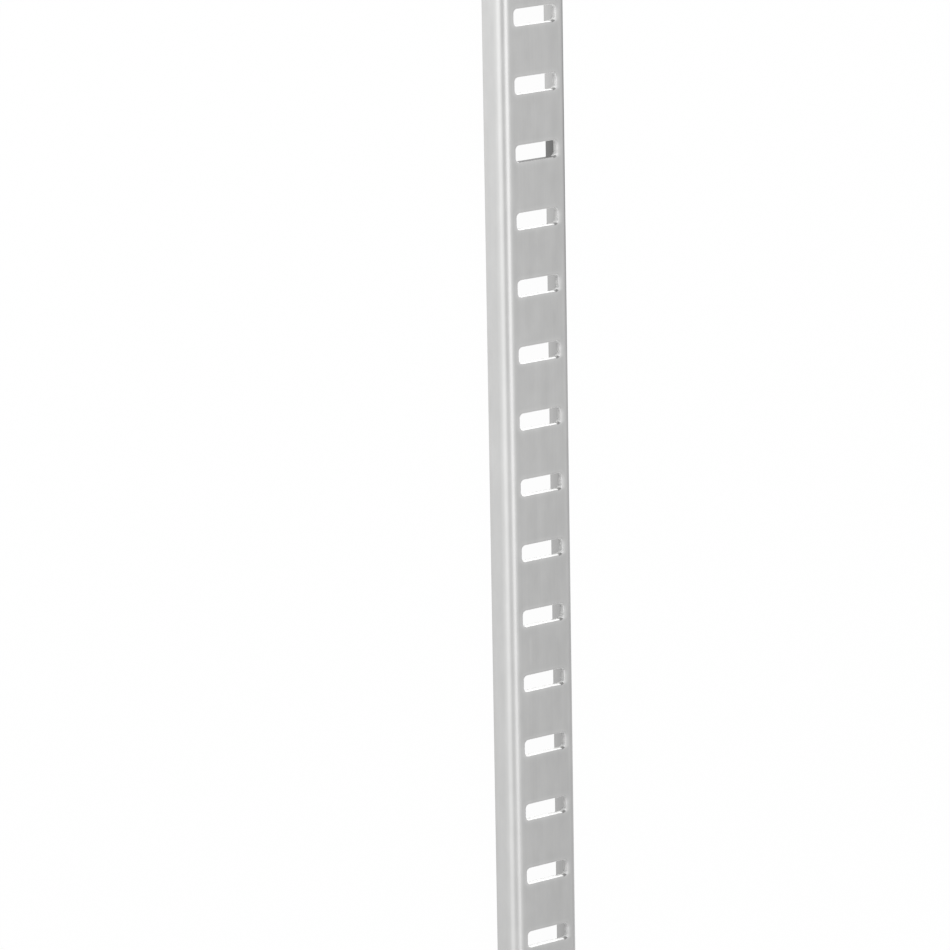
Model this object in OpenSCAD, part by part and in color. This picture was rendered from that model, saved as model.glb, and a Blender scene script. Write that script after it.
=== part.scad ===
// Shelf standard: one length of slotted steel channel that shelf clips hook into.
// It lies on the edges of its two flanges with the slotted face up.
// X runs along the strip, Y runs across it, and Z is the height above the floor.

/* [Stock] */
// Length the strip is sold in
strip_length = 609.6; // [150:0.1:2450]
// Thickness of the steel sheet
sheet = 1.2; // [0.6:0.1:1.4]

/* [Section] */
// Width of the face, measured between the two sharp corner lines
face_width = 14.2; // [13:0.1:30]
// Depth from the face to the edges of the flanges
depth = 6; // [5:0.1:20]
// Outside radius of the two bends
bend_radius = 1.7; // [1.6:0.1:2]
// Angle by which each flange opens outwards from square
flange_lean = 5.5; // [0:0.5:8]

/* [Clip slots] */
// Distance from one slot to the next
slot_pitch = 12.7; // [8:0.1:40]
// Length of a slot, across the strip
slot_length = 9.5; // [5:0.1:10]
// Height of a slot, along the strip
slot_height = 3.2; // [2:0.1:6]
// Radius of a slot's corners
slot_corner = 0.8; // [0.2:0.1:0.9]
// Distance from an end of the strip to the middle of its nearest slot
end_margin = 6.35; // [4:0.05:60]

/* [Hidden] */
$fn = 96;
// How far a cutting tool runs past the surface it cuts
past = 1;
// The sheet turns through this angle at each bend
bend_angle = 90 - flange_lean;
// Distance from a sharp corner line to the start of its bend
bend_setback = bend_radius * tan(bend_angle / 2);
// Middle of the right bend, across the strip and above the floor
bend_y = face_width / 2 - bend_setback;
bend_z = depth - bend_radius;
// The row of slots is centred on the length, whatever is left over goes to the ends
slot_count = floor((strip_length - 2 * end_margin) / slot_pitch + 0.001) + 1;
slot_row = (slot_count - 1) * slot_pitch;

// Half width, at height z, of the flat side that lies an inset inside the outer one
function side_at(z, inset) =
    bend_y + (bend_radius - inset) / cos(flange_lean) + (bend_z - z) * tan(flange_lean);

// Solid outline of the channel, shrunk evenly by the inset and open-ended below by drop
module outline(inset, drop) {
    radius = bend_radius - inset;
    side_y = bend_y + radius * cos(flange_lean);
    side_z = bend_z + radius * sin(flange_lean);
    foot_y = side_at(-drop, inset);
    polygon([
        [-foot_y, -drop], [foot_y, -drop],
        [side_y, side_z], [bend_y, bend_z + radius],
        [-bend_y, bend_z + radius], [-side_y, side_z]
    ]);
    for (side = [-1, 1])
        translate([side * bend_y, bend_z])
            circle(r = radius);
}

// Cross-section of the rolled sheet: a face with a bend and a flange on each side
module section() {
    difference() {
        outline(0, 0);
        outline(sheet, past);
    }
}

// One clip slot seen from above, a rectangle with rounded corners
module slot_shape() {
    core_x = slot_height / 2 - slot_corner;
    core_y = slot_length / 2 - slot_corner;
    square([2 * core_x, slot_length], center = true);
    square([slot_height, 2 * core_y], center = true);
    for (x = [-core_x, core_x], y = [-core_y, core_y])
        translate([x, y])
            circle(r = slot_corner);
}

// The strip: the section along its length, with the slots punched through the face
module slotted_channel() {
    color([0.73, 0.73, 0.72])
        difference() {
            rotate([90, 0, 90])
                translate([0, 0, -strip_length / 2])
                    linear_extrude(height = strip_length)
                        section();
            for (i = [0 : slot_count - 1])
                translate([i * slot_pitch - slot_row / 2, 0, depth - sheet - past])
                    linear_extrude(height = sheet + 2 * past)
                        slot_shape();
        }
}

slotted_channel();
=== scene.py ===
from math import cos, pi, radians, sin, tan

import bmesh
import bpy
from mathutils import Matrix, Vector


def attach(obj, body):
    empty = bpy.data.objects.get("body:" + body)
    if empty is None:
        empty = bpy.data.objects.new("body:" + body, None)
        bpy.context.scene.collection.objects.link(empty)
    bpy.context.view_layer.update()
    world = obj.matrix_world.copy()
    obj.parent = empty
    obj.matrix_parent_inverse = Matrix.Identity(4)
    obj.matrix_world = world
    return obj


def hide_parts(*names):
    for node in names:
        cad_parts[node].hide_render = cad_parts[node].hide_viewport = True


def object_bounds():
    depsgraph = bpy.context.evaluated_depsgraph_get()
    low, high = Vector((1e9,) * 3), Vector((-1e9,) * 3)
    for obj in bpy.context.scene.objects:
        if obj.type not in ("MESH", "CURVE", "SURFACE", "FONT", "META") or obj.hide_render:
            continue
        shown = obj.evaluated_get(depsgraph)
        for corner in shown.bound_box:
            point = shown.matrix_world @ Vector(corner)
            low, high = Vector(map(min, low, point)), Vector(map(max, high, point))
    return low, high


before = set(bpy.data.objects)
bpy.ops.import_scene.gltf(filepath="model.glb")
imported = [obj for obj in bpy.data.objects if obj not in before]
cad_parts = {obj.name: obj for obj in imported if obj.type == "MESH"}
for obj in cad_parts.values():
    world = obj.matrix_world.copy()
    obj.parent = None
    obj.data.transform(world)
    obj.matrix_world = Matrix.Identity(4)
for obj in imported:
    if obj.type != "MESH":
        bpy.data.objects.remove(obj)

cad_low, cad_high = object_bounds()

# The slotted channel is a strip of thin satin grey steel, punched with a row of slots and rolled
# to a U. The punch has drawn in the rim of each slot, most of all at its two ends. A painted
# highlight runs along below each bend.
sheet = 0.0012
face_width = 0.0142
bend_radius = 0.0017
flange_lean = radians(5.5)
slot_pitch = 0.0127
slot_length = 0.0095
slot_height = 0.0032
slot_corner = 0.0008
depth = cad_high.z
bend_y = face_width / 2 - bend_radius * tan((pi / 2 - flange_lean) / 2)
bend_z = depth - bend_radius
rim_reach = 0.0005
rim_steps = 6
side_drop = 0.00003
end_drop = 0.0001
edge_round = 0.0001
edge_steps = 2
close = 0.00001
same_point = 0.000001
flat = radians(0.1)
sharp = radians(40)
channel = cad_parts["slotted_channel"]
strip_length = cad_high.x - cad_low.x
slot_count = round(strip_length / slot_pitch)
bpy.ops.object.select_all(action="DESELECT")
channel.select_set(True)
bpy.context.view_layer.objects.active = channel
bpy.ops.object.duplicate()
strip = bpy.context.object
strip.name = "punched_channel"
bpy.ops.mesh.customdata_custom_splitnormals_clear()

# The copy is merged and cut into even cells, half a pitch long, so that its edges round cleanly
bpy.ops.object.mode_set(mode="EDIT")
bpy.ops.mesh.select_mode(type="VERT")
bpy.ops.mesh.select_all(action="SELECT")
bpy.ops.mesh.remove_doubles(threshold=same_point)
bpy.ops.mesh.dissolve_limited(angle_limit=flat)
for count in range(1, 2 * slot_count):
    bpy.ops.mesh.select_all(action="SELECT")
    bpy.ops.mesh.bisect(plane_co=(cad_low.x + count * slot_pitch / 2, 0, 0), plane_no=(1, 0, 0))
    bpy.ops.mesh.mark_seam()
bpy.ops.mesh.select_all(action="SELECT")
bpy.ops.mesh.dissolve_limited(angle_limit=flat, use_dissolve_boundaries=True, delimit={"SEAM"})
bpy.ops.mesh.mark_seam(clear=True)


def pick_sharp_edges(fits):
    bpy.ops.mesh.select_all(action="DESELECT")
    bpy.ops.mesh.select_mode(type="EDGE")
    mesh = bmesh.from_edit_mesh(strip.data)
    for line in mesh.edges:
        line.select_set(line.calc_face_angle() > sharp and all(fits(point.co) for point in line.verts))
    bmesh.update_edit_mesh(strip.data)


def round_picked_edges(width, steps):
    bpy.ops.mesh.bevel(
        offset=width, offset_type="OFFSET", segments=steps, affect="EDGES", clamp_overlap=False,
    )


def near_slot(point, reach):
    return point.z > depth - reach - close and abs(point.y) < slot_length / 2 + reach + close


# The rims get a wide shallow shoulder, deeper at the ends of a slot, and the flanges a small round
pick_sharp_edges(lambda point: near_slot(point, 0) and abs(point.x) < cad_high.x - close)
round_picked_edges(rim_reach, rim_steps)
mesh = bmesh.from_edit_mesh(strip.data)
for point in mesh.verts:
    if near_slot(point.co, rim_reach):
        round_corner = (abs(point.co.y) - slot_length / 2) / slot_corner + 1
        drop = side_drop + (end_drop - side_drop) * min(max(round_corner, 0), 1) ** 2
        point.co.z = depth - (depth - point.co.z) * drop / rim_reach
bmesh.update_edit_mesh(strip.data)
pick_sharp_edges(lambda point: point.z < close or abs(point.x) > cad_high.x - close)
round_picked_edges(edge_round, edge_steps)
bpy.ops.object.mode_set(mode="OBJECT")
bpy.ops.object.shade_smooth_by_angle(angle=sharp)
bpy.ops.object.modifier_add(type="WEIGHTED_NORMAL")
strip.modifiers[-1].keep_sharp = True
bpy.ops.object.modifier_apply(modifier=strip.modifiers[-1].name)
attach(strip, "root")
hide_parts("slotted_channel")

# The steel is one material. Its tables below give the tone at each place, as pairs of a place in
# metres or an angle in degrees, and the tone or share there.
steel = bpy.data.materials.new("satin_steel")
steel.use_nodes = True
nodes = steel.node_tree.nodes
links = steel.node_tree.links
shader = nodes["Principled BSDF"]
place = nodes.new("ShaderNodeTexCoord")
axes = nodes.new("ShaderNodeSeparateXYZ")
links.new(place.outputs["Object"], axes.inputs["Vector"])
along, across, height = axes.outputs


def calc(operation, *terms):
    step = nodes.new("ShaderNodeMath")
    step.operation = operation
    for socket, term in zip(step.inputs, terms):
        if isinstance(term, (int, float)):
            socket.default_value = term
        else:
            links.new(term, socket)
    return step.outputs[0]


def product(first, *others):
    for term in others:
        first = calc("MULTIPLY", first, term)
    return first


def blend(share, first, second):
    return calc("ADD", product(first, calc("SUBTRACT", 1.0, share)), product(second, share))


def lighten(tone, mask, share):
    return product(tone, calc("ADD", 1.0, product(mask, share)))


def darken(tone, mask, share):
    return product(tone, calc("SUBTRACT", 1.0, product(mask, share)))


def ramp(value, table):
    low, high = table[0][0], table[-1][0]
    spread = nodes.new("ShaderNodeMapRange")
    spread.inputs["From Min"].default_value = low
    spread.inputs["From Max"].default_value = high
    links.new(value, spread.inputs["Value"])
    step = nodes.new("ShaderNodeValToRGB")
    marks = step.color_ramp.elements
    while len(marks) > 1:
        marks.remove(marks[-1])
    marks[0].position = 0.0
    for count, (spot, level) in enumerate(table):
        mark = marks[0] if count == 0 else marks.new((spot - low) / (high - low))
        mark.color = (level, level, level, 1.0)
    links.new(spread.outputs["Result"], step.inputs["Fac"])
    return step.outputs["Color"]


def within(value, low, high, soft):
    return ramp(value, ((low - soft, 0.0), (low + soft, 1.0), (high - soft, 1.0), (high + soft, 0.0)))


noise_middle = 0.5


def noise(stretch, detail):
    spread = nodes.new("ShaderNodeMapping")
    spread.inputs["Scale"].default_value = stretch
    links.new(place.outputs["Object"], spread.inputs["Vector"])
    step = nodes.new("ShaderNodeTexNoise")
    step.inputs["Scale"].default_value = 1.0
    step.inputs["Detail"].default_value = detail
    links.new(spread.outputs["Vector"], step.inputs["Vector"])
    return calc("SUBTRACT", step.outputs["Fac"], noise_middle)


# The outer side goes by the angle around the bend, from the face at 0 to the flange past 85 degrees.
# Its tones hold painted light: a painted highlight on the bend near the face, a painted highlight
# line below the bend near 80 degrees, and the flange painted darker towards its foot as painted shade.
outer_tones_painted_light = (
    (-40, 0.8), (-15, 0.8), (0, 0.815), (5, 0.84), (11, 0.88), (19, 0.88), (27, 0.85),
    (60, 0.83), (78, 0.9), (88, 0.88), (105, 0.76), (125, 0.695), (158, 0.675),
)
side = calc("ABSOLUTE", across)
right_half = calc("GREATER_THAN", across, 0.0)
turn = calc("DEGREES", calc("ARCTAN2", calc("SUBTRACT", side, bend_y), calc("SUBTRACT", height, bend_z)))
outer_tone_and_painted_light = ramp(turn, outer_tones_painted_light)

# The inner side is painted darker than the outer side, as painted shade inside the channel, and is
# painted lighter over one stretch near the upper end. A dark patch with soft edges lies on the right
# flange behind one slot.
inner_painted_shade_tones = ((0.0, 0.575), (0.0035, 0.48), (0.0055, 0.5))
upper_painted_light_stretch = ((-0.09, 0.5), (-0.07, 0.9), (-0.0572, 1.0), (-0.0445, 0.4), (-0.032, 0.0))
inner_upper_light_share = 0.11
dark_patch_start = -0.0602
dark_patch_end = -0.0522
dark_patch_soft = 0.0013
dark_patch_depths = ((0.0, 0.63), (0.004, 0.73), (0.0047, 0.0))
leaned_out = product(calc("SUBTRACT", bend_z, height), tan(flange_lean))
middle_y = calc("ADD", leaned_out, bend_y + (bend_radius - sheet / 2) / cos(flange_lean))
inner = product(calc("LESS_THAN", side, middle_y), calc("LESS_THAN", height, depth - sheet / 2))
upper_painted_light = ramp(along, upper_painted_light_stretch)
dark_patch = within(along, dark_patch_start, dark_patch_end, dark_patch_soft)
inner_tone_and_painted_shade = lighten(ramp(height, inner_painted_shade_tones), upper_painted_light, inner_upper_light_share)
inner_tone_and_painted_shade = darken(inner_tone_and_painted_shade, product(dark_patch, right_half), ramp(height, dark_patch_depths))

# A place near a slot goes by its distance outside the slot's outline and by the angle around the
# corner, below 0 on a long wall and past 90 degrees on an end wall. The lower half is towards +X.
cut_edge = ((0.00001, 1.0), (0.00005, 0.0))
slot_x = calc("WRAP", calc("ADD", along, slot_pitch / 2), slot_pitch / 2, -slot_pitch / 2)
lower_half = calc("GREATER_THAN", slot_x, 0.0)
core_x = calc("SUBTRACT", calc("ABSOLUTE", slot_x), slot_height / 2 - slot_corner)
core_y = calc("SUBTRACT", side, slot_length / 2 - slot_corner)
corner_turn = calc("DEGREES", calc("ARCTAN2", core_y, core_x))
gap_x = calc("MAXIMUM", core_x, 0.0)
gap_y = calc("MAXIMUM", core_y, 0.0)
reach = calc("SQRT", calc("ADD", product(gap_x, gap_x), product(gap_y, gap_y)))
outside = calc("SUBTRACT", reach, slot_corner)
cut = product(ramp(outside, cut_edge), calc("GREATER_THAN", height, depth - sheet + close))

# The punch leaves pale walls. Their tones are painted light and shade, set for the upper and lower part
# of each wall, by the angle around the slot and by the place across it: the long walls are painted
# bright, the end walls darker, the lower part darker near the flange, and painted shade lies in each
# lower right corner.
wall_rise = ((0.0048, 0.0), (0.0051, 0.15), (0.0056, 0.9), (0.006, 1.0))
low_tones = (
    (-90, 1.0), (0, 1.0), (10, 0.88), (25, 0.72), (45, 0.72), (60, 0.68), (80, 0.66), (100, 0.71),
)
high_tones = ((-90, 1.0), (30, 1.0), (50, 0.86), (65, 0.74), (85, 0.74), (100, 0.8))
flange_near = ((0.0024, 0.0), (0.003, 1.0))
flange_fade = ((0, 1.0), (50, 0.0))
flange_shade = 0.33
corner_shade_start = -6
corner_shade_end = 44
corner_shade_soft = 5
corner_shade_depth = 0.83
wall_painted_light_levels = (
    (-0.0016, 1.07), (-0.001, 1.07), (-0.0007, 0.93), (-0.0004, 0.96), (0.0, 0.98),
    (0.0007, 0.9), (0.0016, 0.95),
)
dim_start = 46
dim_end = 80
dim_soft = 8
dim_stretch = ((0.0006, 0.0), (0.001, 1.0))
dim_depth = 0.16
end_wall = ((30, 0.0), (60, 1.0))
end_wall_upper_light_share = 0.18
long_wall_limit = 5.0
dark_patch_wall_depth = 0.8
near_flange = product(ramp(across, flange_near), ramp(corner_turn, flange_fade))
low_tone = darken(ramp(corner_turn, low_tones), near_flange, flange_shade)
# Painted shade in the lower right corner of each slot, on its walls
painted_corner_shade = product(within(corner_turn, corner_shade_start, corner_shade_end, corner_shade_soft), lower_half, right_half)
high_tone = darken(ramp(corner_turn, high_tones), painted_corner_shade, corner_shade_depth)
wall_tone = blend(ramp(height, wall_rise), low_tone, high_tone)
wall_tone = product(wall_tone, ramp(slot_x, wall_painted_light_levels))
# Painted shade: the walls in the lower corners of each slot are dimmed
painted_corner_dim = product(within(corner_turn, dim_start, dim_end, dim_soft), ramp(slot_x, dim_stretch))
wall_tone = darken(wall_tone, painted_corner_dim, dim_depth)
# Painted light: the end walls are lighter over the stretch near the upper end
wall_tone = lighten(wall_tone, product(upper_painted_light, ramp(corner_turn, end_wall)), end_wall_upper_light_share)
# The dark patch also lies on the long lower wall of that slot
dark_patch_on_wall = product(dark_patch, calc("LESS_THAN", corner_turn, long_wall_limit), lower_half)
wall_tone = darken(wall_tone, dark_patch_on_wall, dark_patch_wall_depth)

# On the drawn-in rim the painted corner shade runs out, and the shoulder at each end of a slot gets a
# painted highlight, stronger at the right end
rim_shade_reach = ((0.0, 1.0), (0.0001, 0.8), (0.0003, 0.0))
rim_shade_depth = 0.6
end_highlight_reach = ((0.0, 0.1), (0.0001, 0.7), (0.00025, 1.0), (0.0005, 0.6), (0.001, 0.0))
end_highlight_turn = ((10, 0.0), (45, 1.0))
end_highlight_stretch = (
    (-0.0016, 0.0), (-0.001, 0.15), (-0.0007, 0.38), (-0.0004, 0.7), (0.0, 0.92), (0.0003, 0.75),
    (0.0009, 0.65), (0.0013, 1.05), (0.0016, 0.6), (0.0019, 0.0),
)
left_highlight_share = 0.06
right_highlight_share = 0.24
outer_tone_and_painted_light = darken(outer_tone_and_painted_light, product(painted_corner_shade, ramp(outside, rim_shade_reach)), rim_shade_depth)
end_rim_highlight = product(ramp(outside, end_highlight_reach), ramp(corner_turn, end_highlight_turn), ramp(slot_x, end_highlight_stretch))
outer_tone_and_painted_light = lighten(outer_tone_and_painted_light, end_rim_highlight, blend(right_half, left_highlight_share, right_highlight_share))

# The satin has mottle, fine streaks and broad bands that the rolls drew out along the strip, and one
# rubbed mark. Painted light and shade are added: the face lighter on its left and darker on its right,
# less so near the upper end, painted light beside the left bend and painted shade beside the right one,
# painted light over one stretch, and a faint painted highlight around each slot. A grain is told
# by its scale on each axis, its detail and its share, and the mark by its start, end and softness.
grains = (
    ((200.0, 450.0, 450.0), 3.0, 0.15),
    ((30.0, 2500.0, 2500.0), 2.0, 0.05),
    ((4.0, 380.0, 380.0), 1.0, 0.12),
)
rub_along = (0.0355, 0.0408, 0.0008)
rub_across = (-0.0034, -0.0028, 0.00025)
rub_share = 0.055
face_shade_stretch = ((-0.08, 0.2), (-0.03, 1.0))
face_shade_share = -2.2
margin_light_levels = ((-0.0062, 1.0), (-0.0045, 0.85), (-0.003, 0.55), (0.0045, 0.55), (0.0058, 0.25))
margin_light_middle = 0.55
margin_light_share = 0.05
face_painted_light_stretch = ((-0.038, 0.0), (-0.022, 0.6), (-0.0125, 1.0), (0.002, 0.9), (0.012, 0.0))
face_painted_light_share = 0.025
rim_highlight_reach = ((0.0, 0.3), (0.00015, 0.6), (0.00032, 1.0), (0.0005, 0.65), (0.0008, 0.2), (0.0011, 0.0))
rim_highlight_share = 0.065
changes = [product(noise(stretch, detail), share) for stretch, detail, share in grains]
changes.append(product(within(along, *rub_along), within(across, *rub_across), rub_share))
# The next four terms are painted light and shade across the face, by the bends, along one stretch and
# around each slot
changes.append(product(across, product(ramp(along, face_shade_stretch), face_shade_share)))
changes.append(product(calc("SUBTRACT", ramp(across, margin_light_levels), margin_light_middle), margin_light_share))
changes.append(product(ramp(along, face_painted_light_stretch), face_painted_light_share))
changes.append(product(ramp(outside, rim_highlight_reach), rim_highlight_share))
grain_wear_and_painted_light = changes[0]
for change in changes[1:]:
    grain_wear_and_painted_light = calc("ADD", grain_wear_and_painted_light, change)

# The walls scatter light as a pale matt surface does, and the rest is satin metal
blue_share = 0.993
satin_roughness = 0.34
uneven_roughness = 0.6
wall_roughness = 0.5
wall_matt = 0.9
tone = blend(cut, blend(inner, outer_tone_and_painted_light, inner_tone_and_painted_shade), wall_tone)
tone = product(tone, calc("ADD", 1.0, grain_wear_and_painted_light))
tint = nodes.new("ShaderNodeCombineColor")
links.new(tone, tint.inputs["Red"])
links.new(tone, tint.inputs["Green"])
links.new(product(tone, blue_share), tint.inputs["Blue"])
links.new(tint.outputs["Color"], shader.inputs["Base Color"])
roughness = calc("ADD", satin_roughness, product(grain_wear_and_painted_light, uneven_roughness))
links.new(blend(cut, roughness, wall_roughness), shader.inputs["Roughness"])
links.new(calc("SUBTRACT", 1.0, product(cut, wall_matt)), shader.inputs["Metallic"])
strip.data.materials.clear()
strip.data.materials.append(steel)

# The floor is a plain pale sheet that the strip lies on, white to the camera. In reflections it
# glows with painted shade: less bright on the right and towards +X, and darker over one stretch
# on the right. It stays a little darker where the strip shades it.
floor_size = 8.0
white = (1.0, 1.0, 1.0, 1.0)
pale = (0.8, 0.8, 0.8, 1.0)
left_levels = (
    (-0.3, 1.0), (-0.09, 0.99), (-0.03, 0.9), (0.02, 0.85), (0.04, 0.84), (0.09, 0.78), (0.3, 0.78),
)
right_levels = (
    (-0.3, 0.35), (-0.072, 0.35), (-0.06, 0.15), (-0.05, 0.15), (-0.03, 0.3), (0.03, 0.5),
    (0.09, 0.62), (0.3, 0.62),
)
far_levels = (
    (-0.3, 0.35), (-0.072, 0.35), (-0.055, 0.27), (-0.03, 0.31), (0.03, 0.5), (0.09, 0.62), (0.3, 0.62),
)
right_side = ((0.006, 0.0), (0.012, 1.0))
far_right = ((0.014, 0.0), (0.026, 1.0))
white_share = 0.975
bpy.ops.mesh.primitive_plane_add(size=floor_size, location=(0, 0, 0))
floor = bpy.context.object
floor.name = "floor"
paper = bpy.data.materials.new("white_paper")
paper.use_nodes = True
nodes = paper.node_tree.nodes
links = paper.node_tree.links
nodes.clear()
out = nodes.new("ShaderNodeOutputMaterial")
mix = nodes.new("ShaderNodeMixShader")
glow = nodes.new("ShaderNodeEmission")
glow.inputs["Color"].default_value = white
matt = nodes.new("ShaderNodeBsdfDiffuse")
matt.inputs["Color"].default_value = pale
path = nodes.new("ShaderNodeLightPath")
spot = nodes.new("ShaderNodeTexCoord")
spot_axes = nodes.new("ShaderNodeSeparateXYZ")
links.new(spot.outputs["Object"], spot_axes.inputs["Vector"])
floor_x, floor_y = spot_axes.outputs[:2]
# Painted shade in the floor's glow for reflections, set by place on the floor
right_level = blend(ramp(floor_y, far_right), ramp(floor_x, right_levels), ramp(floor_x, far_levels))
glossy_glow_with_painted_shade = blend(ramp(floor_y, right_side), ramp(floor_x, left_levels), right_level)
links.new(blend(path.outputs["Is Glossy Ray"], 1.0, glossy_glow_with_painted_shade), glow.inputs["Strength"])
seen = calc("MAXIMUM", path.outputs["Is Camera Ray"], path.outputs["Is Glossy Ray"])
links.new(product(seen, white_share), mix.inputs["Fac"])
links.new(matt.outputs["BSDF"], mix.inputs[1])
links.new(glow.outputs["Emission"], mix.inputs[2])
links.new(mix.outputs["Shader"], out.inputs["Surface"])
floor.data.materials.append(paper)

# The studio is a pale grey room, lighter at the strip's upper end and darker on the right,
# with one large soft lamp overhead and another beyond the upper end.
levels_along = ((-1.0, 0.82), (-0.3, 0.75), (0.0, 0.65), (0.5, 0.492), (1.0, 0.36))
levels_across = ((-1.0, 0.99), (-0.3, 0.97), (0.0, 0.92), (0.6, 0.91), (0.8, 0.87), (1.0, 0.66))
room_strength = 1.11
strip_middle = Vector((0, 0, 0))
world = bpy.data.worlds.new("room")
bpy.context.scene.world = world
world.use_nodes = True
nodes = world.node_tree.nodes
links = world.node_tree.links
sky = nodes.new("ShaderNodeTexCoord")
sky_axes = nodes.new("ShaderNodeSeparateXYZ")
links.new(sky.outputs["Generated"], sky_axes.inputs["Vector"])
sky_x, sky_y = sky_axes.outputs[:2]
room = nodes["Background"]
room.inputs["Color"].default_value = white
room_level = product(ramp(sky_x, levels_along), ramp(sky_y, levels_across), room_strength)
links.new(room_level, room.inputs["Strength"])


def soft_lamp(name, location, size, watts):
    lamp = bpy.data.lights.new(name, "AREA")
    lamp.shape = "RECTANGLE"
    lamp.size, lamp.size_y = size
    lamp.energy = watts
    holder = bpy.data.objects.new(name, lamp)
    bpy.context.scene.collection.objects.link(holder)
    holder.location = location
    holder.rotation_euler = (strip_middle - holder.location).to_track_quat("-Z", "Y").to_euler()
    return holder


soft_lamp("overhead_left", location=(-0.15, -0.45, 1.2), size=(1.5, 0.85), watts=2.13)
head_lamp = soft_lamp("head_end", location=(-1.2, -0.1, 0.6), size=(1.2, 0.8), watts=18.0)
head_lamp.visible_glossy = False

# The camera stands on the left of the strip and towards its upper end, and looks down on it,
# with the strip running from the top of the picture to the bottom.
side_angle = radians(35.743)
end_angle = radians(14.479)
roll = radians(-1.014)
distance = 1.0701
lens_px = 5740.6
picture_px = 950
sensor_width = 36.0
view_reach = 20.0
aim_slot_x = slot_pitch / 2
shift_right, shift_up = 0.006703, -0.002916
right_flat = Vector((0, cos(side_angle), sin(side_angle)))
up_flat = Vector((-cos(end_angle), sin(side_angle) * sin(end_angle), -cos(side_angle) * sin(end_angle)))
back = Vector((-sin(end_angle), -sin(side_angle) * cos(end_angle), cos(side_angle) * cos(end_angle)))
right = right_flat * cos(roll) + up_flat * sin(roll)
up = up_flat * cos(roll) - right_flat * sin(roll)
corner = Vector((aim_slot_x, -face_width / 2, depth))
camera_data = bpy.data.cameras.new("camera")
camera_data.sensor_width = sensor_width
camera_data.lens = lens_px * sensor_width / picture_px
camera_data.clip_end = view_reach
camera = bpy.data.objects.new("camera", camera_data)
bpy.context.scene.collection.objects.link(camera)
camera_place = corner - right * shift_right - up * shift_up + back * distance
camera.matrix_world = Matrix.Translation(camera_place) @ Matrix((right, up, back)).transposed().to_4x4()
bpy.context.scene.camera = camera

bpy.context.scene.view_settings.view_transform = "Standard"
